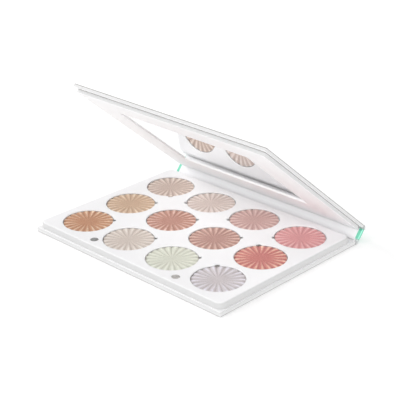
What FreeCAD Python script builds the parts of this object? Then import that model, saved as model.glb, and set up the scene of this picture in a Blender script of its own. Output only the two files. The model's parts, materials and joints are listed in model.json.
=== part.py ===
import FreeCAD, Part
import os

import Sketcher

# Book-style eyeshadow palette. Origin: middle of the well grid on the underside. +X runs along the long
# edges to the right, +Y points to the hinge, +Z up. The lid stands partly open, over the tray.

os.makedirs("parts", exist_ok=True)
doc = FreeCAD.newDocument("EyeshadowPalette")

# ---------------------------------------------------------------- driving dimensions, mm and degrees
SIZES = {
    "Paper": 0.25,
    "CoverWidth": 182.0,
    "CoverDepth": 139.0,
    "CoverMiddle": 1.5,
    "BaseCore": 3.1,
    "LidCore": 1.8,
    "SpineCore": 1.8,
    "TurnIn": 12.0,
    "SpineTurnIn": 2.8,
    "TrayWidth": 179.0,
    "TrayDepth": 133.0,
    "TrayHeight": 4.6,
    "TrayCorner": 5.0,
    "TrayEdge": 1.4,
    "MagnetSheet": 0.6,
    "WellRadius": 18.4,
    "PitchX": 43.0,
    "PitchY": 41.7,
    "NotchRadius": 2.1,
    "NotchReach": 13.0,
    "PanRadius": 18.1,
    "PanHeight": 3.3,
    "PanWall": 0.25,
    "PanEdge": 0.5,
    "CakeGap": 0.03,
    "CakeHeight": 3.35,
    "CakeEdge": 0.4,
    "DiscRadius": 3.0,
    "DiscHeight": 2.0,
    "DiscGap": 0.05,
    "DiscSink": 0.1,
    "DiscX": 40.3,
    "DiscMiddle": 2.2,
    "DiscY": 59.0,
    "HingeY": 73.6,
    "HingeInset": 0.15,
    "HingeGap": 2.6,
    "SpineTilt": 40.4,
    "ClosedGap": 0.4,
    "FrameWidth": 178.4,
    "FrameDepth": 134.6,
    "FrameHeight": 2.8,
    "FrameStart": 4.2,
    "FrameEdge": 0.5,
    "FrameCorner": 2.5,
    "WindowWidth": 122.0,
    "WindowDepth": 85.0,
    "WindowMiddle": 75.5,
    "MirrorGap": 0.3,
    "MirrorPad": 0.5,
    "MirrorGlass": 1.5,
}
COLUMNS = 4
ROWS = 3
ROW_NAMES = "abc"

sheet = doc.addObject("Spreadsheet::Sheet", "Sizes")
for line, (alias, value) in enumerate(SIZES.items(), 1):
    sheet.set(f"A{line}", alias)
    sheet.set(f"B{line}", str(value))
    sheet.setAlias(f"B{line}", alias)
doc.recompute()

# ---------------------------------------------------------------- lengths that follow from them
BASE_TOP = "(Sizes.BaseCore + 2 * Sizes.Paper)"
TRAY_TOP = f"({BASE_TOP} + Sizes.TrayHeight)"
PAN_FLOOR = f"({BASE_TOP} + Sizes.MagnetSheet)"
LID_COVER = "(Sizes.LidCore + 2 * Sizes.Paper)"
TILT = "(Sizes.SpineTilt * 1 deg)"
SPINE_SPAN = f"({TRAY_TOP} + Sizes.ClosedGap + Sizes.FrameHeight + {LID_COVER} - 2 * Sizes.HingeInset)"
SPINE_LENGTH = f"({SPINE_SPAN} - 2 * Sizes.HingeGap)"
FRAME_FLOOR = f"({LID_COVER} - Sizes.HingeInset)"
FRAME_TOP = f"({FRAME_FLOOR} + Sizes.FrameHeight)"
FRAME_MIDDLE = "(Sizes.FrameStart + Sizes.FrameDepth / 2)"
# The closure discs of the lid lie over those of the tray when the lid is shut.
LID_DISC_Y = "(Sizes.HingeY + Sizes.DiscY)"

# Where each group of parts stands at rest: its own origin and its turn about X. On a panel, y runs away
# from its hinge and z points to the inside of the palette.
AT_BASE = {"y": "0", "z": "0", "turn": "0"}
AT_SPINE = {"y": "Sizes.HingeY", "z": "Sizes.HingeInset", "turn": "90 - Sizes.SpineTilt"}
AT_LID = {
    "y": f"Sizes.HingeY + {SPINE_SPAN} * sin({TILT})",
    "z": f"Sizes.HingeInset + {SPINE_SPAN} * cos({TILT})",
    "turn": "180 - Sizes.SpineTilt",
}

nodes = []


# ---------------------------------------------------------------- helpers
def place(item, at, x="0"):
    """Put an object at its group's origin, turned about X, and keep both bound to the sheet."""
    item.Placement = FreeCAD.Placement(FreeCAD.Vector(), FreeCAD.Rotation(FreeCAD.Vector(1, 0, 0), 1))
    item.setExpression("Placement.Base.x", x)
    item.setExpression("Placement.Base.y", at["y"])
    item.setExpression("Placement.Base.z", at["z"])
    item.setExpression("Placement.Rotation.Angle", f"({at['turn']}) * 1 deg")


def keep(item, label):
    """Name an object as one of the parts that are written out."""
    item.Label = label
    nodes.append(item)


def new_body(label, at, x="0"):
    body = doc.addObject("PartDesign::Body", label)
    place(body, at, x)
    keep(body, label)
    return body


def new_sketch(body, name, x="0", y="0", z="0"):
    """A sketch on the body's own XY plane, moved by the given expressions."""
    sketch = body.newObject("Sketcher::SketchObject", f"{body.Name}_{name}")
    plane = next(f for f in body.Origin.OriginFeatures if f.Role == "XY_Plane")
    sketch.AttachmentSupport = [(plane, "")]
    sketch.MapMode = "FlatFace"
    sketch.setExpression("AttachmentOffset.Base.x", x)
    sketch.setExpression("AttachmentOffset.Base.y", y)
    sketch.setExpression("AttachmentOffset.Base.z", z)
    return sketch


def draw_rectangle(sketch, width, depth, tag):
    """A rectangle centred on the sketch's origin, its two sizes bound to expressions."""
    first = sketch.GeometryCount
    start = 10.0 + first
    corners = [(-start, -start), (start, -start), (start, start), (-start, start)]
    for k in range(4):
        a = FreeCAD.Vector(*corners[k], 0)
        b = FreeCAD.Vector(*corners[(k + 1) % 4], 0)
        sketch.addGeometry(Part.LineSegment(a, b), False)
    for k in range(4):
        following = first + (k + 1) % 4
        sketch.addConstraint(Sketcher.Constraint("Coincident", first + k, 2, following, 1))
    for k in (0, 2):
        sketch.addConstraint(Sketcher.Constraint("Horizontal", first + k))
        sketch.addConstraint(Sketcher.Constraint("Vertical", first + k + 1))
    sketch.addConstraint(Sketcher.Constraint("Symmetric", first, 1, first + 2, 1, -1, 1))
    across = Sketcher.Constraint("DistanceX", first, 1, first, 2, 2 * start)
    along = Sketcher.Constraint("DistanceY", first + 1, 1, first + 1, 2, 2 * start)
    for name, constraint, size in (("Width", across, width), ("Depth", along, depth)):
        index = sketch.addConstraint(constraint)
        sketch.renameConstraint(index, name + tag)
        sketch.setExpression(f"Constraints.{name}{tag}", size)


def draw_circle(sketch, radius):
    """A circle on the sketch's origin, its radius bound to an expression."""
    circle = Part.Circle(FreeCAD.Vector(), FreeCAD.Vector(0, 0, 1), 1.0)
    index = sketch.addGeometry(circle, False)
    sketch.addConstraint(Sketcher.Constraint("Coincident", index, 3, -1, 1))
    size = sketch.addConstraint(Sketcher.Constraint("Radius", index, 1.0))
    sketch.renameConstraint(size, "Radius")
    sketch.setExpression("Constraints.Radius", radius)


def pad(body, sketch, height):
    feature = body.newObject("PartDesign::Pad", f"{sketch.Name}_pad")
    feature.Profile = sketch
    feature.setExpression("Length", height)
    return feature


def cut_upwards(body, sketch, depth=None):
    """Remove what stands above a sketch: the given height of it, or all of it."""
    doc.recompute()
    before = body.Shape.Volume
    feature = body.newObject("PartDesign::Pocket", f"{sketch.Name}_cut")
    feature.Profile = sketch
    feature.Reversed = True
    if depth:
        feature.Type = "Length"
        feature.setExpression("Length", depth)
    else:
        feature.Type = "ThroughAll"
    doc.recompute()
    if not body.Shape.Volume < before:
        raise RuntimeError(f"{feature.Name} removed nothing")


def plate(body, name, width, depth, z, height, y="0", hole=None):
    """A rectangular sheet of material, with a rectangular hole in its middle if one is given."""
    sketch = new_sketch(body, name, y=y, z=z)
    draw_rectangle(sketch, width, depth, "Outer")
    if hole:
        draw_rectangle(sketch, hole[0], hole[1], "Inner")
    return pad(body, sketch, height)


def round_edges(body, radius, wanted):
    """Fillet every edge of the body so far that the given test accepts."""
    doc.recompute()
    base = body.Tip
    names = [f"Edge{k}" for k, edge in enumerate(base.Shape.Edges, 1) if wanted(edge)]
    fillet = body.newObject("PartDesign::Fillet", f"{body.Name}_fillet{len(names)}")
    fillet.Base = (base, names)
    fillet.setExpression("Radius", radius)
    body.Tip = fillet


def is_upright(edge):
    box = edge.BoundBox
    return box.ZLength > 0.1 and box.XLength < 0.01 and box.YLength < 0.01


def lies_at(height):
    return lambda edge: abs(edge.BoundBox.ZMin - height) < 0.001 and edge.BoundBox.ZLength < 0.001


def rounded_slab(body, width, depth, z, height, corner, edge, y="0"):
    """A sheet with round corners and a soft upper edge."""
    plate(body, "slab", width, depth, z, height, y)
    round_edges(body, corner, is_upright)
    doc.recompute()
    round_edges(body, edge, lies_at(body.Tip.Shape.BoundBox.ZMax))


def hollow_from_below(body):
    """Leave only a paper-thin skin of a slab, open underneath."""
    doc.recompute()
    base = body.Tip
    floor = base.Shape.BoundBox.ZMin
    names = [f"Face{k}" for k, f in enumerate(base.Shape.Faces, 1) if abs(f.BoundBox.ZMax - floor) < 0.001]
    shell = body.newObject("PartDesign::Thickness", f"{body.Name}_shell")
    shell.Base = (base, names)
    shell.setExpression("Value", "Sizes.Paper")
    shell.Reversed = True
    shell.Join = 0
    body.Tip = shell
    doc.recompute()


def less(size, inset):
    return f"{size} - 2 * {inset}"


def centred(index, count, pitch):
    """The place of one of several equally spaced things, as an expression."""
    return f"{index - (count - 1) / 2} * Sizes.{pitch}"


# ---------------------------------------------------------------- covers: board, wrapping paper, liner
def add_cover(prefix, at, y, z, core):
    """One cover of the palette, with the wrapping paper turned in over the board's edges."""
    on_paper = f"{z} + Sizes.Paper"
    on_board = f"{z} + Sizes.Paper + {core}"
    wide, deep = "Sizes.CoverWidth", "Sizes.CoverDepth"
    board_size = (less(wide, "Sizes.Paper"), less(deep, "Sizes.Paper"))
    liner_size = (less(wide, "Sizes.TurnIn"), less(deep, "Sizes.TurnIn"))
    board = new_body(f"{prefix}_board", at)
    plate(board, "core", *board_size, on_paper, core, y)
    wrap = new_body(f"{prefix}_wrap", at)
    plate(wrap, "face", wide, deep, z, "Sizes.Paper", y)
    plate(wrap, "edges", wide, deep, on_paper, core, y, board_size)
    plate(wrap, "turn_in", wide, deep, on_board, "Sizes.Paper", y, liner_size)
    liner = new_body(f"{prefix}_liner", at)
    plate(liner, "sheet", *liner_size, on_board, "Sizes.Paper", y)


def add_spine():
    """The spine: mint paper on the outside and turned in over both ends, a white lining on the inside."""
    y = f"Sizes.HingeGap + {SPINE_LENGTH} / 2"
    outside = "-Sizes.HingeInset"
    on_paper = f"{outside} + Sizes.Paper"
    on_board = f"{on_paper} + Sizes.SpineCore"
    board_size = (less("Sizes.CoverWidth", "Sizes.Paper"), less(SPINE_LENGTH, "Sizes.Paper"))
    liner_size = (less("Sizes.CoverWidth", "Sizes.SpineTurnIn"), less(SPINE_LENGTH, "Sizes.Paper"))
    board = new_body("spine_board", AT_SPINE)
    plate(board, "core", *board_size, on_paper, "Sizes.SpineCore", y)
    wrap = new_body("spine_wrap", AT_SPINE)
    plate(wrap, "face", "Sizes.CoverWidth", SPINE_LENGTH, outside, "Sizes.Paper", y)
    plate(wrap, "edges", "Sizes.CoverWidth", SPINE_LENGTH, on_paper, "Sizes.SpineCore", y, board_size)
    plate(wrap, "turn_in", "Sizes.CoverWidth", SPINE_LENGTH, on_board, "Sizes.Paper", y, liner_size)
    liner = new_body("spine_liner", AT_SPINE)
    plate(liner, "sheet", *liner_size, on_board, "Sizes.Paper", y)


def add_crease(label, at, end, axis_height, turn, depth):
    """A strip of paper that bends from the end of one panel into the next, depth inside the outer face."""
    bend = f"(Sizes.HingeGap / tan({turn} / 2) + Sizes.HingeInset - {depth})"
    halves = []
    for name, radius in (("outer", bend), ("inner", f"{bend} - Sizes.Paper")):
        rod = doc.addObject("Part::Cylinder", f"{label}_{name}")
        rod.setExpression("Radius", radius)
        rod.setExpression("Height", "Sizes.CoverWidth")
        rod.setExpression("Angle", turn)
        rod.Placement = FreeCAD.Placement(FreeCAD.Vector(), FreeCAD.Rotation(FreeCAD.Vector(0, 1, 0), 90))
        rod.setExpression("Placement.Base.x", "-Sizes.CoverWidth / 2")
        rod.setExpression("Placement.Base.y", end)
        rod.setExpression("Placement.Base.z", f"{axis_height} + Sizes.HingeGap / tan({turn} / 2)")
        halves.append(rod)
    strip = doc.addObject("Part::Cut", label)
    strip.Base, strip.Tool = halves
    place(strip, at)
    keep(strip, label)


# ---------------------------------------------------------------- tray
def notch_side(column, row):
    """Which way a well's finger notch points: into the space between wells, left or right, up or down."""
    to_hinge = -1 if row == ROWS - 1 else 1
    if row == ROWS - 1:
        to_right = 1 if column == 0 else -1
    else:
        to_right = -1 if column == COLUMNS - 1 else 1
    return to_right, to_hinge


def cut_wells(body, z):
    """The round wells, each with its notch, and the two holes for the closure discs."""
    for row in range(ROWS):
        for column in range(COLUMNS):
            name = f"{ROW_NAMES[row]}{column + 1}"
            x = centred(column, COLUMNS, "PitchX")
            y = centred(row, ROWS, "PitchY")
            well = new_sketch(body, f"well_{name}", x, y, z)
            draw_circle(well, "Sizes.WellRadius")
            cut_upwards(body, well)
            to_right, to_hinge = notch_side(column, row)
            beside = f"{x} + {to_right} * Sizes.NotchReach"
            beyond = f"{y} + {to_hinge} * Sizes.NotchReach"
            notch = new_sketch(body, f"notch_{name}", beside, beyond, z)
            draw_circle(notch, "Sizes.NotchRadius")
            cut_upwards(body, notch)


def disc_x(side):
    """The closure discs stand either side of a line a little right of the middle."""
    return f"Sizes.DiscMiddle + {side} * Sizes.DiscX"


def cut_disc_holes(body, y, z, depth=None):
    for side in (-1, 1):
        name = "hole_left" if side < 0 else "hole_right"
        hole = new_sketch(body, name, disc_x(side), y, z)
        draw_circle(hole, "Sizes.DiscRadius + Sizes.DiscGap")
        cut_upwards(body, hole, depth)


def add_tray():
    sheet_size = (less("Sizes.TrayWidth", "Sizes.Paper"), less("Sizes.TrayDepth", "Sizes.Paper"))
    magnet_sheet = new_body("magnet_sheet", AT_BASE)
    plate(magnet_sheet, "sheet", *sheet_size, BASE_TOP, "Sizes.MagnetSheet")
    round_edges(magnet_sheet, "Sizes.TrayCorner - Sizes.Paper", is_upright)
    board = new_body("tray_board", AT_BASE)
    thick = "Sizes.TrayHeight - Sizes.MagnetSheet - Sizes.Paper"
    inner_corner = "Sizes.TrayCorner - Sizes.Paper"
    inner_edge = "Sizes.TrayEdge - Sizes.Paper"
    rounded_slab(board, *sheet_size, PAN_FLOOR, thick, inner_corner, inner_edge)
    cut_wells(board, BASE_TOP)
    disc_floor = f"{TRAY_TOP} - Sizes.DiscHeight - Sizes.DiscSink"
    cut_disc_holes(board, "-Sizes.DiscY", disc_floor)
    skin = new_body("tray_wrap", AT_BASE)
    full_size = ("Sizes.TrayWidth", "Sizes.TrayDepth")
    rounded_slab(skin, *full_size, BASE_TOP, "Sizes.TrayHeight", "Sizes.TrayCorner", "Sizes.TrayEdge")
    hollow_from_below(skin)
    cut_wells(skin, BASE_TOP)
    cut_disc_holes(skin, "-Sizes.DiscY", BASE_TOP)


def add_discs(prefix, at, y, z):
    """The two closure magnets of one side."""
    for side, name in ((-1, "left"), (1, "right")):
        disc = new_body(f"{prefix}_magnet_{name}", at)
        sketch = new_sketch(disc, "disc", disc_x(side), y, z)
        draw_circle(sketch, "Sizes.DiscRadius")
        pad(disc, sketch, "Sizes.DiscHeight")


# ---------------------------------------------------------------- pans and powder
def add_shade(name, x, y):
    """One metal pan and the powder cake pressed into it."""
    at = {"y": y, "z": PAN_FLOOR, "turn": "0"}
    pan = new_body(f"pan_{name}", at, x)
    outline = new_sketch(pan, "outline")
    draw_circle(outline, "Sizes.PanRadius")
    pad(pan, outline, "Sizes.PanHeight")
    round_edges(pan, "Sizes.PanEdge", lies_at(0.0))
    inside = new_sketch(pan, "inside", z="Sizes.PanWall")
    draw_circle(inside, "Sizes.PanRadius - Sizes.PanWall")
    cut_upwards(pan, inside)
    cake = new_body(f"powder_{name}", at, x)
    disc = new_sketch(cake, "disc", z="Sizes.PanWall")
    draw_circle(disc, "Sizes.PanRadius - Sizes.PanWall - Sizes.CakeGap")
    pad(cake, disc, "Sizes.CakeHeight")
    doc.recompute()
    round_edges(cake, "Sizes.CakeEdge", lies_at(cake.Tip.Shape.BoundBox.ZMax))


# ---------------------------------------------------------------- lid frame and mirror
def add_lid_frame():
    """The raised frame inside the lid, with a window for the mirror."""
    window = ("Sizes.WindowWidth", "Sizes.WindowDepth")
    board_window = tuple(f"{size} + 2 * Sizes.Paper" for size in window)
    board = new_body("frame_board", AT_LID)
    board_size = (less("Sizes.FrameWidth", "Sizes.Paper"), less("Sizes.FrameDepth", "Sizes.Paper"))
    thick = "Sizes.FrameHeight - Sizes.Paper"
    inner_corner = "Sizes.FrameCorner - Sizes.Paper"
    inner_edge = "Sizes.FrameEdge - Sizes.Paper"
    rounded_slab(board, *board_size, FRAME_FLOOR, thick, inner_corner, inner_edge, FRAME_MIDDLE)
    opening = new_sketch(board, "window", y="Sizes.WindowMiddle", z=FRAME_FLOOR)
    draw_rectangle(opening, *board_window, "Outer")
    cut_upwards(board, opening)
    cut_disc_holes(board, LID_DISC_Y, f"{FRAME_TOP} - Sizes.Paper - Sizes.DiscHeight")
    skin = new_body("frame_wrap", AT_LID)
    full_size = ("Sizes.FrameWidth", "Sizes.FrameDepth")
    rounded_slab(
        skin, *full_size, FRAME_FLOOR, "Sizes.FrameHeight", "Sizes.FrameCorner", "Sizes.FrameEdge", FRAME_MIDDLE
    )
    hollow_from_below(skin)
    opening = new_sketch(skin, "window", y="Sizes.WindowMiddle", z=FRAME_FLOOR)
    draw_rectangle(opening, *window, "Outer")
    cut_upwards(skin, opening)
    plate(skin, "window_edges", *board_window, FRAME_FLOOR, thick, "Sizes.WindowMiddle", window)


def add_mirror():
    mirror_size = (less("Sizes.WindowWidth", "Sizes.MirrorGap"), less("Sizes.WindowDepth", "Sizes.MirrorGap"))
    backing = new_body("mirror_pad", AT_LID)
    plate(backing, "pad", *mirror_size, FRAME_FLOOR, "Sizes.MirrorPad", "Sizes.WindowMiddle")
    glass = new_body("mirror_glass", AT_LID)
    on_pad = f"{FRAME_FLOOR} + Sizes.MirrorPad"
    plate(glass, "glass", *mirror_size, on_pad, "Sizes.MirrorGlass", "Sizes.WindowMiddle")


# ---------------------------------------------------------------- the palette
add_cover("base", AT_BASE, "Sizes.CoverMiddle", "0", "Sizes.BaseCore")
add_tray()
add_discs("tray", AT_BASE, "-Sizes.DiscY", f"{TRAY_TOP} - Sizes.DiscHeight - Sizes.DiscSink")
for row in range(ROWS):
    for column in range(COLUMNS):
        shade = f"{ROW_NAMES[row]}{column + 1}"
        add_shade(shade, centred(column, COLUMNS, "PitchX"), centred(row, ROWS, "PitchY"))
add_spine()
LID_MIDDLE = "(Sizes.HingeGap + Sizes.CoverDepth / 2)"
add_cover("lid", AT_LID, LID_MIDDLE, "-Sizes.HingeInset", "Sizes.LidCore")
add_lid_frame()
add_mirror()
add_discs("lid", AT_LID, LID_DISC_Y, f"{FRAME_TOP} - Sizes.Paper - Sizes.DiscHeight")

LOWER_TURN = "((90 - Sizes.SpineTilt) * 1 deg)"
UPPER_TURN = "(90 * 1 deg)"
BASE_END = "Sizes.CoverMiddle + Sizes.CoverDepth / 2"
SPINE_END = f"Sizes.HingeGap + {SPINE_LENGTH}"
for kind, depth in (("wrap", "0"), ("liner", "Sizes.Paper")):
    add_crease(f"lower_crease_{kind}", AT_BASE, BASE_END, "Sizes.HingeInset", LOWER_TURN, depth)
    add_crease(f"upper_crease_{kind}", AT_SPINE, SPINE_END, "0", UPPER_TURN, depth)

# ---------------------------------------------------------------- check and write
doc.recompute()
broken = [o.Name for o in doc.Objects if "Invalid" in o.State or "Error" in o.State]
if broken:
    raise RuntimeError(f"failed objects: {broken}")
for item in nodes:
    if item.Shape.isNull() or not item.Shape.isValid():
        raise RuntimeError(f"{item.Label} has no valid shape")
for item in nodes:
    item.Shape.exportStep(f"parts/{item.Label}.step")
print(len(nodes), "parts written")
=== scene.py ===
import json
import math

import bmesh
import bpy
from mathutils import Matrix, Vector


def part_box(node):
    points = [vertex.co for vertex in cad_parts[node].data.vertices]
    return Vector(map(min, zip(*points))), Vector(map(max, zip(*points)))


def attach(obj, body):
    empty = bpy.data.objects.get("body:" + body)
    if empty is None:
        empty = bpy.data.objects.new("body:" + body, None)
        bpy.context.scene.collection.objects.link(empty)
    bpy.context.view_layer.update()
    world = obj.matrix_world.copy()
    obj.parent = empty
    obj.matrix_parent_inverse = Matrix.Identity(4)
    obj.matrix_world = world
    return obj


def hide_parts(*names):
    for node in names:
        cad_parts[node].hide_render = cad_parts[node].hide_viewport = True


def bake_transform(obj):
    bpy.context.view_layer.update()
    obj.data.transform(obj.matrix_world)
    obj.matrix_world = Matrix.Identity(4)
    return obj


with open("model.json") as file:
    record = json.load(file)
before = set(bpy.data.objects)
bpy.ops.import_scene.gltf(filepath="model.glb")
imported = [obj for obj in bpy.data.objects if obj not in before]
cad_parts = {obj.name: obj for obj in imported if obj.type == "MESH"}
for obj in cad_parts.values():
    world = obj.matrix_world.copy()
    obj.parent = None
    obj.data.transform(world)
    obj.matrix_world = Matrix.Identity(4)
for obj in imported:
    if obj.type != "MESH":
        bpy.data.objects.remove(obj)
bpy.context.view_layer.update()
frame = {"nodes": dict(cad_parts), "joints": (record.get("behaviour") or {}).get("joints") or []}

# Book-style eyeshadow palette, in metres. Boards wrapped in paper, a tray of twelve round pans with
# sunburst powder, a mint spine on two paper creases, and a lid with a mirror in a raised frame.

MM = 0.001
FULL_TURN = 2 * math.pi
X_AXIS = Vector((1, 0, 0))
# A shade is named by its row, a at the front, and its column, 1 at the left.
ROWS, COLUMNS = "abc", "1234"
SHADES = [row + column for row in ROWS for column in COLUMNS]


# ---------------------------------------------------------------- places, read from the frame
class Panel:
    """A panel's own frame: x across the palette, s on from base to spine to lid, t towards the inside."""

    def __init__(self, body, origin, along):
        self.body = body
        self.origin = Vector(origin)
        self.along = Vector(along).normalized()
        self.inward = X_AXIS.cross(self.along)
        turn = Matrix((X_AXIS, self.along, self.inward)).transposed()
        self.matrix = Matrix.Translation(self.origin) @ turn.to_4x4()

    def point(self, x, s, t):
        """Where a point of the panel's frame is in the model."""
        return self.origin + X_AXIS * x + self.along * s + self.inward * t

    def local(self, place):
        """A place in the model as the panel's own (x, s, t)."""
        return self.matrix.inverted() @ place

    def box(self, node):
        """Lowest and highest (x, s, t) of a CAD node."""
        points = [self.local(v.co) for v in frame["nodes"][node].data.vertices]
        low = Vector([min(p[i] for p in points) for i in range(3)])
        high = Vector([max(p[i] for p in points) for i in range(3)])
        return low, high


def middle_of(low, high):
    """The middle of a box, seen from above."""
    return ((low.x + high.x) / 2, (low.y + high.y) / 2)


joints = {j["name"]: j for j in frame["joints"]}
lower_axis = Vector(joints["spine_fold"]["pos_m"])
upper_axis = Vector(joints["lid_fold"]["pos_m"])
BASE = Panel("base", (0, 0, 0), (0, 1, 0))
SPINE = Panel("spine", lower_axis, upper_axis - lower_axis)
LID = Panel("lid", upper_axis, SPINE.inward)


# ---------------------------------------------------------------- materials
# What the meshes record for the materials: how far a face turns from the panel's flat, which sets the
# painted side shade; how strongly a rounded edge takes the edge colour, which is wear with painted shade on
# white paper and a painted highlight on the mint; and how high a point of the powder stands between groove
# (0) and crest (1), which sets the painted groove shade and crest highlight.
SIDE, EDGE, RELIEF_MARK = "side", "edge", "relief"
# Most of a noise pattern lies between these two values.
NOISE_LOW, NOISE_HIGH = 0.3, 0.7


class Material:
    """A node material round one Principled shader, with short ways to add what its surface needs."""

    def __init__(self, name, **values):
        self.data = bpy.data.materials.new(name)
        self.data.use_nodes = True
        self.nodes = self.data.node_tree.nodes
        self.links = self.data.node_tree.links
        self.shader = next(n for n in self.nodes if n.type == "BSDF_PRINCIPLED")
        for socket, value in values.items():
            self.shader.inputs[socket.replace("_", " ")].default_value = value
        self.place = self.add("ShaderNodeTexCoord").outputs["Object"]

    def add(self, kind, **values):
        """Add a node. Each value sets the property of that name or, if there is none, the input."""
        node = self.nodes.new(kind)
        for key, value in values.items():
            if hasattr(node, key):
                setattr(node, key, value)
            else:
                node.inputs[key.replace("_", " ")].default_value = value
        return node

    def link(self, source, target):
        self.links.new(source, target)

    def mark(self, name):
        """What the mesh records under that name."""
        return self.add("ShaderNodeAttribute", attribute_name=name).outputs["Fac"]

    def noise(self, scale, detail=3.0, roughness=0.55, stretch=None):
        """Noise with features about 1 / scale metres across. Stretch multiplies the scale on each axis."""
        node = self.add("ShaderNodeTexNoise", Scale=scale, Detail=detail, Roughness=roughness)
        place = self.place
        if stretch:
            mapping = self.add("ShaderNodeMapping")
            mapping.inputs["Scale"].default_value = stretch
            self.link(place, mapping.inputs["Vector"])
            place = mapping.outputs["Vector"]
        self.link(place, node.inputs["Vector"])
        return node.outputs["Fac"]

    def spread(self, source, low, high, start=NOISE_LOW, end=NOISE_HIGH):
        """Map a pattern to numbers: low at start, high at end, and no further outside them."""
        node = self.add("ShaderNodeMapRange", From_Min=start, From_Max=end, To_Min=low, To_Max=high)
        self.link(source, node.inputs["Value"])
        return node.outputs["Result"]

    def times(self, a, b):
        """The product of two outputs."""
        node = self.add("ShaderNodeMath", operation="MULTIPLY")
        self.link(a, node.inputs[0])
        self.link(b, node.inputs[1])
        return node.outputs["Value"]

    def colours(self, pattern, low, high):
        """Colour a noise pattern from the low colour to the high one."""
        ramp = self.add("ShaderNodeValToRGB")
        stops = ((NOISE_LOW, low), (NOISE_HIGH, high))
        for element, (position, colour) in zip(ramp.color_ramp.elements, stops):
            element.position = position
            element.color = (*colour, 1.0)
        self.link(pattern, ramp.inputs["Fac"])
        return ramp.outputs["Color"]

    def mix(self, under, colour, factor):
        """Lay a plain colour over what is under it, as strongly as factor says."""
        node = self.add("ShaderNodeMix", data_type="RGBA")
        colour_inputs = {socket.name: socket for socket in node.inputs if socket.type == "RGBA"}
        self.link(under, colour_inputs["A"])
        colour_inputs["B"].default_value = (*colour, 1.0)
        self.link(factor, node.inputs["Factor"])
        return next(socket for socket in node.outputs if socket.type == "RGBA")

    def paint(self, colour):
        self.link(colour, self.shader.inputs["Base Color"])

    def roughen(self, roughness):
        self.link(roughness, self.shader.inputs["Roughness"])

    def bump(self, heights):
        """The normal of stacked bumps: (pattern, depth in metres) from the broadest to the finest."""
        normal = None
        for pattern, depth in heights:
            node = self.add("ShaderNodeBump", Strength=1.0, Distance=depth)
            self.link(pattern, node.inputs["Height"])
            if normal:
                self.link(normal, node.inputs["Normal"])
            normal = node.outputs["Normal"]
        return normal

    def surface(self, normal):
        self.link(normal, self.shader.inputs["Normal"])


ROUGHNESS_PLAY = 0.06


def paper(name, colour, shade, fibre, roughness, edge_wear_and_painted_light, painted_side_shade):
    """Coated wrapping paper: faint fibres, cloudy tone, sides darkened as painted shade, and rounded edges
    in the edge colour, which is wear with painted shade on white paper and a painted highlight on the mint.
    """
    m = Material(name, Specular_IOR_Level=0.35)
    cloud = m.noise(38.0, detail=4.0)
    fibres = m.noise(1500.0, detail=5.0, roughness=0.65)
    # Faces turned from the flat take the painted side shade.
    tone = m.mix(m.colours(cloud, shade, colour), painted_side_shade, m.mark(SIDE))
    flecked = m.mix(tone, fibre, m.spread(fibres, 0.0, 0.12, start=0.55, end=0.75))
    # The edge colour, in patches: wear with painted shade on white paper, a painted highlight on the mint.
    patchy = m.times(m.mark(EDGE), m.spread(m.noise(240.0, detail=4.0), 0.75, 1.0))
    m.paint(m.mix(flecked, edge_wear_and_painted_light, patchy))
    m.roughen(m.spread(fibres, roughness - ROUGHNESS_PLAY, roughness + ROUGHNESS_PLAY))
    m.surface(m.bump([(cloud, 0.04 * MM), (fibres, 0.006 * MM)]))
    return m.data


def greyboard():
    """Bookbinding board, cut through: grey-brown pulp with darker specks."""
    m = Material("greyboard", Roughness=0.9, Specular_IOR_Level=0.2)
    pulp = m.noise(900.0, detail=6.0, roughness=0.7, stretch=(1, 1, 4))
    specks = m.noise(2600.0, detail=2.0)
    tone = m.colours(pulp, (0.30, 0.28, 0.26), (0.52, 0.50, 0.47))
    m.paint(m.mix(tone, (0.16, 0.15, 0.14), m.spread(specks, 0.0, 0.6, start=0.62, end=0.72)))
    m.surface(m.bump([(pulp, 0.05 * MM), (specks, 0.02 * MM)]))
    return m.data


def magnetic_rubber():
    """Rubber filled with magnet powder: dark grey, matt and finely grained."""
    m = Material("magnetic_sheet", Specular_IOR_Level=0.3)
    grain = m.noise(3000.0, detail=4.0)
    m.paint(m.colours(grain, (0.018, 0.018, 0.020), (0.045, 0.045, 0.048)))
    m.roughen(m.spread(grain, 0.55, 0.75))
    m.surface(m.bump([(grain, 0.015 * MM)]))
    return m.data


def nickel():
    """Plated magnet face: mottled, with fine turning marks."""
    m = Material("nickel_plate", Metallic=1.0)
    mottle = m.noise(700.0, detail=4.0)
    marks = m.noise(260.0, detail=2.0, roughness=0.5, stretch=(1, 22, 1))
    m.paint(m.colours(mottle, (0.38, 0.38, 0.38), (0.68, 0.68, 0.67)))
    m.roughen(m.spread(mottle, 0.28, 0.45))
    m.surface(m.bump([(marks, 0.01 * MM)]))
    return m.data


def tinplate():
    """Drawn pan metal, with grain that runs down its walls."""
    m = Material("tinplate", Metallic=1.0)
    grain = m.noise(1200.0, roughness=0.5, stretch=(1, 1, 0.1))
    m.paint(m.colours(grain, (0.56, 0.55, 0.54), (0.72, 0.71, 0.70)))
    m.roughen(m.spread(grain, 0.24, 0.38))
    m.surface(m.bump([(grain, 0.005 * MM)]))
    return m.data


def silvered_glass():
    """Mirror, with faint smears."""
    m = Material("silvered_glass", Metallic=1.0)
    smear = m.noise(60.0, roughness=0.5, stretch=(1, 2.5, 2.5))
    m.paint(m.colours(smear, (0.93, 0.94, 0.945), (0.95, 0.96, 0.96)))
    m.roughen(m.spread(smear, 0.004, 0.02))
    return m.data


def foam_pad():
    """Pale foam with small open cells."""
    m = Material("foam_pad", Roughness=0.85, Specular_IOR_Level=0.2)
    cells = m.noise(2200.0, detail=4.0)
    m.paint(m.colours(cells, (0.60, 0.60, 0.60), (0.80, 0.80, 0.80)))
    m.surface(m.bump([(cells, 0.04 * MM)]))
    return m.data


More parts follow.
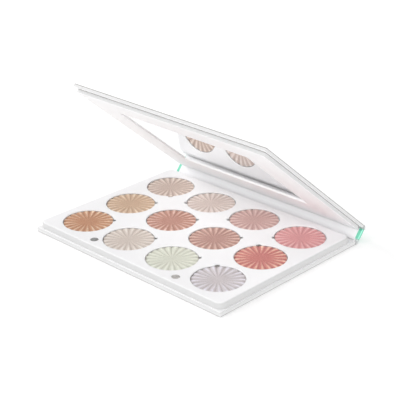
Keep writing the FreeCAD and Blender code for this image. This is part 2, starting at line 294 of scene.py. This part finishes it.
# How metallic the powder is, how far a bright flake takes the glint colour, and how far flakes lean.
POWDER_METAL = 0.20
BRIGHT_FLAKES = 0.35
FLAKE_TILT = 0.30
# Shares of the base colour that are left in the cloudy patches, and in the grooves as painted shade.
CLOUD_TONE = 0.92
GROOVE_PAINTED_SHADE = 0.62


def tilted(m, normal, flake_colour):
    """The normal leant by each flake's own colour, up to half of FLAKE_TILT either way on every axis."""
    tilt = m.add("ShaderNodeVectorMath", operation="MULTIPLY_ADD")
    tilt.inputs[1].default_value = [FLAKE_TILT] * 3
    tilt.inputs[2].default_value = [-FLAKE_TILT / 2] * 3
    m.link(flake_colour, tilt.inputs[0])
    turned = m.add("ShaderNodeVectorMath", operation="ADD")
    m.link(normal, turned.inputs[0])
    m.link(tilt.outputs["Vector"], turned.inputs[1])
    unit = m.add("ShaderNodeVectorMath", operation="NORMALIZE")
    m.link(turned.outputs["Vector"], unit.inputs[0])
    return unit.outputs["Vector"]


def powder(name, base, glint):
    """Pressed shimmer powder: a painted highlight on the crests, painted shade in the grooves, and flakes
    that each lean their own way.
    """
    m = Material(f"powder_{name}", Metallic=POWDER_METAL, Specular_IOR_Level=0.4)
    cloud = m.noise(260.0, detail=4.0)
    grain = m.noise(3500.0, detail=4.0, roughness=0.6)
    tone = m.colours(cloud, tuple(c * CLOUD_TONE for c in base), base)
    flakes = m.add("ShaderNodeTexVoronoi", Scale=5200.0)
    m.link(m.place, flakes.inputs["Vector"])
    parts = m.add("ShaderNodeSeparateColor")
    m.link(flakes.outputs["Color"], parts.inputs["Color"])
    bright = m.spread(parts.outputs["Red"], 0.0, BRIGHT_FLAKES, start=0.55, end=1.0)
    raised = m.mark(RELIEF_MARK)
    # Painted highlight on the ray crests in the glint colour, stronger in patches.
    highlight_patches = m.spread(m.noise(330.0), 0.55, 1.5, start=0.35, end=0.65)
    crest = m.times(m.spread(raised, 0.0, 0.75, start=0.74, end=1.0), highlight_patches)
    # Painted shade in the grooves.
    groove_shade = m.spread(raised, 0.5, 0.0, start=0.0, end=0.55)
    groove_shaded = m.mix(tone, tuple(c * GROOVE_PAINTED_SHADE for c in base), groove_shade)
    m.paint(m.mix(m.mix(groove_shaded, glint, bright), glint, crest))
    m.roughen(m.spread(parts.outputs["Green"], 0.32, 0.50, start=0.0, end=1.0))
    m.surface(tilted(m, m.bump([(cloud, 0.02 * MM), (grain, 0.012 * MM)]), flakes.outputs["Color"]))
    return m.data


SHEET = {
    "colour": (0.88, 0.88, 0.89),
    "shade": (0.87, 0.87, 0.88),
    "fibre": (0.84, 0.84, 0.85),
    "roughness": 0.50,
}
# Two copies of one white paper: the second, for the tray and the lid frame, has darker painted side shade
# and edge shade.
WHITE = paper("white_paper", edge_wear_and_painted_light=(0.30, 0.29, 0.28), painted_side_shade=(0.62, 0.62, 0.62), **SHEET)
WHITE_DEEPER_SHADE = paper("white_paper_deeper_shade", edge_wear_and_painted_light=(0.22, 0.22, 0.22), painted_side_shade=(0.56, 0.56, 0.56), **SHEET)
# The mint's end faces take painted shade, and its rounded edges take the light mint as a painted highlight.
MINT = paper(
    "mint_paper", colour=(0.20, 0.66, 0.48), shade=(0.17, 0.61, 0.43), fibre=(0.28, 0.74, 0.56),
    roughness=0.38, edge_wear_and_painted_light=(0.42, 0.88, 0.72), painted_side_shade=(0.15, 0.58, 0.41),
)
BOARD = greyboard()
NICKEL = nickel()
MIRROR = silvered_glass()

# Base colour and glint colour.
POWDERS = {
    "a1": ((0.56, 0.27, 0.155), (0.95, 0.74, 0.55)),
    "a2": ((0.66, 0.57, 0.51), (0.92, 0.86, 0.80)),
    "a3": ((0.69, 0.70, 0.60), (0.88, 0.90, 0.80)),
    "a4": ((0.61, 0.56, 0.57), (0.86, 0.84, 0.92)),
    "b1": ((0.62, 0.42, 0.29), (0.93, 0.78, 0.62)),
    "b2": ((0.51, 0.25, 0.19), (0.90, 0.66, 0.58)),
    "b3": ((0.48, 0.27, 0.23), (0.88, 0.64, 0.56)),
    "b4": ((0.58, 0.185, 0.175), (0.98, 0.68, 0.52)),
    "c1": ((0.58, 0.45, 0.39), (0.92, 0.82, 0.74)),
    "c2": ((0.68, 0.56, 0.51), (0.90, 0.82, 0.78)),
    "c3": ((0.60, 0.37, 0.34), (0.88, 0.70, 0.66)),
    "c4": ((0.70, 0.31, 0.31), (0.93, 0.62, 0.62)),
}


# ---------------------------------------------------------------- mesh building
# How much of the upward direction is left in the normals of a rounded edge, between a wall and a flat.
EDGE_LEAN_LOW, EDGE_LEAN_HIGH = 0.15, 0.97
SMALLEST_CORNER = 0.02 * MM
# Which way the outline moves at the top of a rounded edge: in at an outer rim, out at a hole.
RIM, HOLE = -1, 1


def finish_piece(name, mesh, panel, material, node, even_normals=True):
    """Put a mesh made in a panel's frame into the model, in place of a CAD node."""
    mesh.transform(panel.matrix)
    for polygon in mesh.polygons:
        polygon.use_smooth = True
    mesh.materials.append(material)
    piece = bpy.data.objects.new(name, mesh)
    bpy.context.scene.collection.objects.link(piece)
    if even_normals:
        modifier = piece.modifiers.new("even_normals", "WEIGHTED_NORMAL")
        modifier.keep_sharp = True
    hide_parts(node)
    return piece


def mark_paper(mesh, outer_edge=0.0, inner_edge=0.0, onset=1.6, unshaded_box=None):
    """Record how far each face turns from the panel's flat, which sets its painted side shade, and how
    strongly it takes the edge colour if it is on a rounded edge.

    The first grows with the turn, onset times as fast. The edge colour is wear with painted shade on white
    paper and a painted highlight on the mint. Faces within the unshaded box in x and s get neither.
    """
    side = mesh.attributes.new(SIDE, "FLOAT", "FACE")
    edge = mesh.attributes.new(EDGE, "FLOAT", "FACE")
    for polygon in mesh.polygons:
        lean = polygon.normal.z
        if unshaded_box and all(unshaded_box[0][i] < polygon.center[i] < unshaded_box[1][i] for i in (0, 1)):
            continue
        side.data[polygon.index].value = min(1.0, onset * (1 - abs(lean)))
        if EDGE_LEAN_LOW < abs(lean) < EDGE_LEAN_HIGH:
            edge.data[polygon.index].value = inner_edge if lean > 0 else outer_edge


def mesh_from(bm, name):
    """Turn a finished bmesh into a mesh, with its faces looking outwards."""
    bmesh.ops.recalc_face_normals(bm, faces=bm.faces)
    mesh = bpy.data.meshes.new(name)
    bm.to_mesh(mesh)
    bm.free()
    return mesh


def join_rings(bm, ring, following):
    """Faces all the way round between two closed rings with as many points each."""
    count = len(ring)
    for k in range(count):
        n = (k + 1) % count
        bm.faces.new((ring[k], ring[n], following[n], following[k]))


def soft_box(low, high, radius, segments=4):
    """A box with all its edges rounded."""
    bm = bmesh.new()
    bmesh.ops.create_cube(bm, size=1.0)
    middle, size = (low + high) / 2, high - low
    for vertex in bm.verts:
        vertex.co = Vector([middle[i] + vertex.co[i] * size[i] for i in range(3)])
    bmesh.ops.bevel(bm, geom=list(bm.edges), offset=radius, segments=segments, profile=0.5, affect="EDGES")
    return bm


def on_circle(centre, radius, angle):
    return (centre[0] + radius * math.cos(angle), centre[1] + radius * math.sin(angle))


def rounded_rectangle(half_x, half_y, centre, radius, per_corner=12):
    """Returns a function: offset -> outline points, the outline grown outwards by that offset."""

    def outline(offset):
        points = []
        for corner in range(4):
            sign_x = 1 if corner in (0, 3) else -1
            sign_y = 1 if corner < 2 else -1
            for k in range(per_corner + 1):
                a = math.radians(90 * (corner + k / per_corner))
                r = max(radius + offset, SMALLEST_CORNER)
                x = sign_x * (half_x + offset - r) + r * math.cos(a)
                y = sign_y * (half_y + offset - r) + r * math.sin(a)
                points.append((centre[0] + x, centre[1] + y))
        return points

    return outline


def circle(centre, radius, around=48):
    """Returns a function: offset -> outline of a circle, grown outwards by that offset."""

    def outline(offset):
        return [on_circle(centre, radius + offset, FULL_TURN * k / around) for k in range(around)]

    return outline


def notched_circle(centre, radius, notch, notch_radius, around=112, in_notch=22):
    """Returns a function: offset -> outline of a round hole with a small round notch at its edge."""

    def outline(offset):
        big = radius + offset
        small = notch_radius + offset
        gap = math.hypot(notch[0] - centre[0], notch[1] - centre[1])
        towards = math.atan2(notch[1] - centre[1], notch[0] - centre[0])
        half_big = math.acos((gap**2 + big**2 - small**2) / (2 * gap * big))
        half_small = math.acos((gap**2 + small**2 - big**2) / (2 * gap * small))
        points = []
        for k in range(around + 1):
            a = towards + half_big + (FULL_TURN - 2 * half_big) * k / around
            points.append(on_circle(centre, big, a))
        reach = math.pi - half_small
        for k in range(1, in_notch):
            a = towards - reach + 2 * reach * k / in_notch
            points.append(on_circle(notch, small, a))
        return points

    return outline


def lip(sign, radius, top, bottom, steps=4):
    """Rings of a rounded upper edge and the wall under it: (offset of the outline, height)."""
    rings = []
    for k in range(steps + 1):
        a = math.pi / 2 * k / steps
        rings.append((sign * radius * (1 - math.sin(a)), top - radius * (1 - math.cos(a))))
    rings.append((0.0, bottom))
    return rings


def punched_sheet(outer, outer_rings, holes=(), hole_rings=()):
    """A flat-topped sheet with a rounded rim and rounded holes, open underneath."""
    bm = bmesh.new()
    top_edges = []
    for outline, rings in [(outer, outer_rings)] + [(hole, hole_rings) for hole in holes]:
        previous = None
        for offset, height in rings:
            ring = [bm.verts.new((x, y, height)) for x, y in outline(offset)]
            if previous is None:
                top_edges += [bm.edges.new(pair) for pair in zip(ring, ring[1:] + ring[:1])]
            else:
                join_rings(bm, previous, ring)
            previous = ring
    bmesh.ops.triangle_fill(bm, edges=top_edges, use_beauty=True)
    return bm


# ---------------------------------------------------------------- covers and spine
COVER_EDGE = 0.7 * MM
SPINE_EDGE = 0.7 * MM
LINING_EDGE = 0.25 * MM
# The lining stands a little out of the mint paper, its back stays inside the spine by LINING_SUNK, and it
# reaches on past the spine's lower edge.
LINING_PROUD = 0.03 * MM
LINING_SUNK = 0.8 * MM
LINING_OVERHANG = 1.4 * MM


def make_cover(prefix, panel):
    """The paper of a cover: its outer edges take the dark edge colour strongly, as wear with a painted
    shade line, its inner ones hardly.
    """
    low, high = panel.box(f"{prefix}_wrap")
    mesh = mesh_from(soft_box(low, high, COVER_EDGE), f"{prefix}_cover_paper")
    mark_paper(mesh, outer_edge=0.95, inner_edge=0.15)
    piece = finish_piece(f"{prefix}_cover_paper", mesh, panel, WHITE, f"{prefix}_wrap")
    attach(piece, panel.body)


def make_spine_paper():
    low, high = SPINE.box("spine_wrap")
    mesh = mesh_from(soft_box(low, high, SPINE_EDGE, segments=6), "spine_mint_paper")
    # The mint's rounded edges, the inner ones most, take light mint as a painted highlight; its end faces
    # take painted shade.
    mark_paper(mesh, outer_edge=0.35, inner_edge=0.8)
    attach(finish_piece("spine_mint_paper", mesh, SPINE, MINT, "spine_wrap"), "spine")


def make_spine_lining():
    """White lining over the spine's inner face and upper edge, reaching on past its lower edge."""
    low, high = SPINE.box("spine_wrap")
    liner_low, liner_high = SPINE.box("spine_liner")
    proud = Vector((0, LINING_PROUD, LINING_PROUD))
    overhang = Vector((0, LINING_OVERHANG, 0))
    lining_low = Vector((liner_low.x, low.y, low.z + LINING_SUNK)) - proud - overhang
    lining_high = Vector((liner_high.x, high.y, high.z)) + proud
    mesh = mesh_from(soft_box(lining_low, lining_high, LINING_EDGE, segments=3), "spine_lining")
    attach(finish_piece("spine_lining", mesh, SPINE, WHITE, "spine_liner"), "spine")


# ---------------------------------------------------------------- creases
CREASE_STEPS = 18
# How far the crease's outer face lies outside the arc through the hinge.
CREASE_PROUD = 0.15 * MM
# How far a strip lies inside the crease's outer face, and its own thickness.
OUTER_STRIP = (0.0, 0.25 * MM)
INNER_STRIP = (0.26 * MM, 0.2 * MM)
INNER_STRIP_INSET = 1 * MM


def make_crease(node, panel, following, strip, half_width):
    """A strip of paper bent from the end of one panel into the next."""
    depth, thickness = strip
    start_s = panel.box(node)[0].y
    hinge = panel.local(following.origin)
    reach = hinge.y - start_s
    turn = panel.along.angle(following.along)
    radius = reach / math.tan(turn / 2)
    outer = radius + CREASE_PROUD - depth
    bm = bmesh.new()
    sections = []
    for k in range(CREASE_STEPS + 1):
        bend = turn * k / CREASE_STEPS
        section = []
        for r in (outer, outer - thickness):
            s = start_s + r * math.sin(bend)
            t = hinge.z + radius - r * math.cos(bend)
            section.append([bm.verts.new((x, s, t)) for x in (-half_width, half_width)])
        sections.append(section)
    for a, b in zip(sections, sections[1:]):
        bm.faces.new((a[0][0], a[0][1], b[0][1], b[0][0]))
        bm.faces.new((a[1][0], b[1][0], b[1][1], a[1][1]))
        for side in (0, 1):
            bm.faces.new((a[0][side], b[0][side], b[1][side], a[1][side]))
    for cut in (sections[0], sections[-1]):
        bm.faces.new((cut[0][0], cut[1][0], cut[1][1], cut[0][1]))
    mesh = mesh_from(bm, f"{node}_paper")
    piece = finish_piece(f"{node}_paper", mesh, panel, WHITE, node)
    start = panel.point(0, start_s, hinge.z)
    end = following.point(0, reach, 0)
    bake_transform(piece)


def make_creases():
    """The outer and inner strip of both creases."""
    half_width = BASE.box("base_wrap")[1].x
    for panel, following, name in ((BASE, SPINE, "lower_crease"), (SPINE, LID, "upper_crease")):
        make_crease(f"{name}_wrap", panel, following, OUTER_STRIP, half_width)
        make_crease(f"{name}_liner", panel, following, INNER_STRIP, half_width - INNER_STRIP_INSET)


# ---------------------------------------------------------------- tray and closure discs
WELL_RADIUS = 18.4 * MM
WELL_EDGE = 0.16 * MM
WELL_WALL = 1.1 * MM
NOTCH_RADIUS = 2.1 * MM
NOTCH_REACH = 13.0 * MM
TRAY_EDGE = 1.4 * MM
TRAY_CORNER = 5 * MM
PAPER_IN_WELL = 0.04 * MM
DISC_GAP = 0.03 * MM
DISC_EDGE = 0.2 * MM
DISC_DISH = 0.04 * MM
DISC_DISH_SHARE = 0.45


def well_centre(shade):
    return middle_of(*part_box(f"powder_{shade}"))


def notch_centre(shade):
    """The finger notch points into the space between the wells."""
    row, column = shade
    last_row, last_column = row == ROWS[-1], column == COLUMNS[-1]
    up = -1 if last_row else 1
    if last_row:
        right = 1 if column == COLUMNS[0] else -1
    else:
        right = -1 if last_column else 1
    x, y = well_centre(shade)
    return (x + right * NOTCH_REACH, y + up * NOTCH_REACH)


def well_outline(shade):
    return notched_circle(
        well_centre(shade), WELL_RADIUS - PAPER_IN_WELL, notch_centre(shade), NOTCH_RADIUS - PAPER_IN_WELL
    )


def disc_hole_outline(side):
    low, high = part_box(f"tray_magnet_{side}")
    return circle(middle_of(low, high), (high.x - low.x) / 2 + DISC_GAP)


def make_tray_skin():
    """The tray's paper, turned down into the wells. Only its front and side walls and their rounded top
    edge take painted side shade.
    """
    low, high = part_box("tray_wrap")
    outer = rounded_rectangle(high.x, high.y, (0, 0), TRAY_CORNER)
    outer_rings = lip(RIM, TRAY_EDGE, high.z, low.z, steps=8)
    holes = [well_outline(shade) for shade in SHADES]
    holes += [disc_hole_outline(side) for side in ("left", "right")]
    hole_rings = lip(HOLE, WELL_EDGE, high.z, high.z - WELL_WALL)
    mesh = mesh_from(punched_sheet(outer, outer_rings, holes, hole_rings), "tray_skin")
    rim = 2 * TRAY_EDGE
    wells_and_back = (Vector((low.x + rim, low.y + rim, 0)), Vector((high.x - rim, high.y + rim, 0)))
    # The painted side shade rises fast on the rounded top edge, taking out its highlight; the wells and the
    # back wall get none.
    mark_paper(mesh, onset=2.4, unshaded_box=wells_and_back)
    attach(finish_piece("tray_skin", mesh, BASE, WHITE_DEEPER_SHADE, "tray_wrap"), "base")


def make_disc(node, panel):
    """A closure magnet's face, a little dished in the middle and rounded at its rim."""
    low, high = panel.box(node)
    radius = (high.x - low.x) / 2
    dish = [(-DISC_DISH_SHARE * radius, high.z - DISC_DISH), (-DISC_EDGE, high.z)]
    rings = dish + lip(RIM, DISC_EDGE, high.z, low.z, steps=3)[1:]
    mesh = mesh_from(punched_sheet(circle(middle_of(low, high), radius), rings), f"{node}_disc")
    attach(finish_piece(f"{node}_disc", mesh, panel, NICKEL, node), panel.body)


# ---------------------------------------------------------------- powder cakes
RAYS = 21
POINTS_PER_RAY = 16
AROUND = RAYS * POINTS_PER_RAY
FIRST_RAY = math.radians(7.6)
RAY_ROUNDNESS = 0.8
RINGS = 26
RING_CROWDING = 1.3
RELIEF = 0.58 * MM
RELIEF_GROWTH = 0.9
# A cake's rim lies CAKE_LEVEL under the top of the CAD cake and reaches CAKE_OVERLAP past its side. Its
# middle is CAKE_DISH lower. At the rim the surface rounds down, and the grooves draw in.
CAKE_LEVEL = 0.08 * MM
CAKE_DISH = 0.30 * MM
CAKE_OVERLAP = 0.10 * MM
CAKE_WALL = 1.2 * MM
RIM_DROP = 0.30 * MM
RIM_SCALLOP = 0.32 * MM
# As shares of the way from a cake's middle to its rim: where each starts, and over what width it grows.
RELIEF_FADE = (0.08, 0.35)
RIM_ROUND = (0.80, 0.20)
# The relief mark of a surface that is neither groove nor crest.
LEVEL = 0.5


def lobe(turn):
    """Height of the pressed relief across the rays: 1 on a ray's round crest, 0 in the groove beside it."""
    return abs(math.cos(RAYS * turn / 2)) ** RAY_ROUNDNESS


def growth(share, start, width):
    """0 up to start, then rising evenly to 1 over that width."""
    return min(1.0, max(0.0, (share - start) / width))


def cake_ring(bm, relief, centre, rim, top, share):
    """One ring of the pressed surface, at that share of the way from the cake's middle to its rim."""
    fade = growth(share, *RELIEF_FADE)
    depth = RELIEF * share**RELIEF_GROWTH * fade
    edge = growth(share, *RIM_ROUND) ** 2
    level = top - CAKE_DISH * (1 - share**2)
    ring = []
    for k in range(AROUND):
        turn = FULL_TURN * k / AROUND
        crest = lobe(turn)
        height = level - depth * (1 - crest) - RIM_DROP * edge
        reach = rim * share - RIM_SCALLOP * (1 - crest) * edge
        point = bm.verts.new((*on_circle(centre, reach, turn + FIRST_RAY), height))
        point[relief] = LEVEL + (crest - LEVEL) * fade * math.sqrt(share)
        ring.append(point)
    return ring


def make_powder(shade):
    """A cake with its sunburst relief: a closed solid whose wall goes down inside the pan."""
    low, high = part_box(f"powder_{shade}")
    centre = well_centre(shade)
    rim = (high.x - low.x) / 2 + CAKE_OVERLAP
    top = high.z - CAKE_LEVEL
    bm = bmesh.new()
    relief = bm.verts.layers.float.new(RELIEF_MARK)
    middle = bm.verts.new((*centre, top - CAKE_DISH))
    middle[relief] = LEVEL
    shares = [1 - (1 - step / RINGS) ** RING_CROWDING for step in range(1, RINGS + 1)]
    rings = [cake_ring(bm, relief, centre, rim, top, share) for share in shares]
    rings.append([bm.verts.new((*point.co.xy, high.z - CAKE_WALL)) for point in rings[-1]])
    for k in range(AROUND):
        bm.faces.new((middle, rings[0][k], rings[0][(k + 1) % AROUND]))
    for ring, following in zip(rings, rings[1:]):
        join_rings(bm, ring, following)
    bm.faces.new(rings[-1])
    mesh = mesh_from(bm, f"powder_{shade}_cake")
    material = powder(shade, *POWDERS[shade])
    node = f"powder_{shade}"
    piece = finish_piece(f"powder_{shade}_cake", mesh, BASE, material, node, even_normals=False)
    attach(piece, f"shade_{shade}")


# ---------------------------------------------------------------- lid frame and mirror
FRAME_CORNER = 2.5 * MM
FRAME_EDGE = 0.5 * MM
FRAME_UNDERCUT = 0.45 * MM
WINDOW_EDGE = 0.2 * MM
WINDOW_CORNER = 0.3 * MM
WINDOW_GAP = 0.12 * MM
# How far round the mirror window the frame takes no painted side shade.
WINDOW_UNSHADED = 1 * MM
GLASS_EDGE = 0.25 * MM


def make_lid_frame():
    """The lid's inner frame: undercut where it meets the cover, with a sharp-cornered mirror window."""
    low, high = LID.box("frame_wrap")
    glass_low, glass_high = LID.box("mirror_glass")
    middle = (0, (low.y + high.y) / 2)
    outer = rounded_rectangle(high.x, (high.y - low.y) / 2, middle, FRAME_CORNER)
    outer_rings = lip(RIM, FRAME_EDGE, high.z, low.z + FRAME_UNDERCUT, steps=5) + [(-FRAME_UNDERCUT, low.z)]
    window_middle = (0, (glass_low.y + glass_high.y) / 2)
    half_x = glass_high.x + WINDOW_GAP
    half_y = (glass_high.y - glass_low.y) / 2 + WINDOW_GAP
    window = rounded_rectangle(half_x, half_y, window_middle, WINDOW_CORNER, per_corner=3)
    window_rings = lip(HOLE, WINDOW_EDGE, high.z, low.z)
    mesh = mesh_from(punched_sheet(outer, outer_rings, [window], window_rings), "lid_frame_skin")
    spare = Vector((WINDOW_UNSHADED, WINDOW_UNSHADED, 0))
    # The frame's walls take painted side shade, and its undercut the dark edge colour as painted shade in
    # the groove.
    mark_paper(mesh, outer_edge=1.0, unshaded_box=(glass_low - spare, glass_high + spare))
    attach(finish_piece("lid_frame_skin", mesh, LID, WHITE_DEEPER_SHADE, "frame_wrap"), "lid")


def make_mirror():
    low, high = LID.box("mirror_glass")
    mesh = mesh_from(soft_box(low, high, GLASS_EDGE, segments=2), "mirror_plate")
    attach(finish_piece("mirror_plate", mesh, LID, MIRROR, "mirror_glass"), "lid")


# ---------------------------------------------------------------- CAD nodes that stay
def dress_carried_nodes():
    """Give the inner pieces and the pans, which keep their CAD shape, their materials."""
    board_nodes = ["base_board", "tray_board", "lid_board", "frame_board", "spine_board"]
    pans = [f"pan_{shade}" for shade in SHADES]
    for material, nodes in (
        (BOARD, board_nodes),
        (WHITE, ["base_liner", "lid_liner"]),
        (magnetic_rubber(), ["magnet_sheet"]),
        (foam_pad(), ["mirror_pad"]),
        (NICKEL, ["lid_magnet_left", "lid_magnet_right"]),
        (tinplate(), pans),
    ):
        for node in nodes:
            mesh = frame["nodes"][node].data
            mesh.materials.clear()
            mesh.materials.append(material)


# ---------------------------------------------------------------- the palette
dress_carried_nodes()
make_cover("base", BASE)
make_cover("lid", LID)
make_spine_paper()
make_spine_lining()
make_creases()
make_tray_skin()
make_disc("tray_magnet_left", BASE)
make_disc("tray_magnet_right", BASE)
for shade in SHADES:
    make_powder(shade)
make_lid_frame()
make_mirror()


# ---------------------------------------------------------------- floor, light and camera
FLOOR_HALF = 6.0
FLOOR_GLOW = 0.34
WORLD_LIGHT = 0.44
# Name: azimuth, elevation, strength, width. Angles are in degrees.
LIGHTS = {
    "left": (-82, 24, 1.25, 18),
    "front": (-28, 30, 1.3, 35),
    "low_front": (28, 10, 0.85, 35),
    "right": (90, 16, 1.3, 35),
    "back_top": (-180, 52, 0.6, 35),
}
# The photograph's view, found from the palette's own wells and straight edges. Angles are in degrees.
VIEW_AZIMUTH, VIEW_ELEVATION, VIEW_ROLL = 44.07, 24.84, -0.525
VIEW_TARGET = Vector((-0.01576, 0.03224, 0.0083))
VIEW_DISTANCE = 0.8639
LENS, SENSOR_WIDTH = 101.46, 36.0
CLIP_START = 0.01


def make_floor():
    """A plain pale floor that glows a little, so that it stays even."""
    m = Material("floor", Roughness=0.8, Specular_IOR_Level=0.0)
    m.paint(m.colours(m.noise(40.0), (0.69, 0.69, 0.69), (0.71, 0.71, 0.71)))
    m.shader.inputs["Emission Color"].default_value = (1, 1, 1, 1)
    m.shader.inputs["Emission Strength"].default_value = FLOOR_GLOW
    bm = bmesh.new()
    bmesh.ops.create_grid(bm, x_segments=1, y_segments=1, size=FLOOR_HALF)
    mesh = mesh_from(bm, "floor")
    mesh.materials.append(m.data)
    floor = bpy.data.objects.new("floor", mesh)
    bpy.context.scene.collection.objects.link(floor)


def direction(azimuth, elevation):
    """Towards a place around the palette. Azimuth 0 is in front, 90 to the right; both are in degrees."""
    a, e = math.radians(azimuth), math.radians(elevation)
    return Vector((math.sin(a) * math.cos(e), -math.cos(a) * math.cos(e), math.sin(e)))


def place_facing(name, data, place, back, roll=0.0):
    """Put a light or a camera at a place, looking away from back and rolled by an angle in degrees."""
    item = bpy.data.objects.new(name, data)
    item.location = place
    item.rotation_mode = "QUATERNION"
    facing = (-back).to_track_quat("-Z", "Y")
    item.rotation_quaternion = facing @ Matrix.Rotation(math.radians(roll), 4, "Z").to_quaternion()
    bpy.context.scene.collection.objects.link(item)
    return item


def soft_light(name, azimuth, elevation, strength, width):
    """A broad light from far away."""
    data = bpy.data.lights.new(name, "SUN")
    data.angle = math.radians(width)
    data.energy = strength
    back = direction(azimuth, elevation)
    place_facing(name, data, back, back)


def make_world():
    """Plain white light from all round."""
    world = bpy.data.worlds.new("world")
    world.use_nodes = True
    background = world.node_tree.nodes["Background"]
    background.inputs["Color"].default_value = (1, 1, 1, 1)
    background.inputs["Strength"].default_value = WORLD_LIGHT
    bpy.context.scene.world = world
    bpy.context.scene.view_settings.view_transform = "Standard"


def make_camera():
    data = bpy.data.cameras.new("camera")
    data.sensor_width = SENSOR_WIDTH
    data.lens = LENS
    data.clip_start = CLIP_START
    back = direction(VIEW_AZIMUTH, VIEW_ELEVATION)
    place = VIEW_TARGET + back * VIEW_DISTANCE
    bpy.context.scene.camera = place_facing("camera", data, place, back, VIEW_ROLL)


make_floor()
for name, values in LIGHTS.items():
    soft_light(name, *values)
make_world()
make_camera()
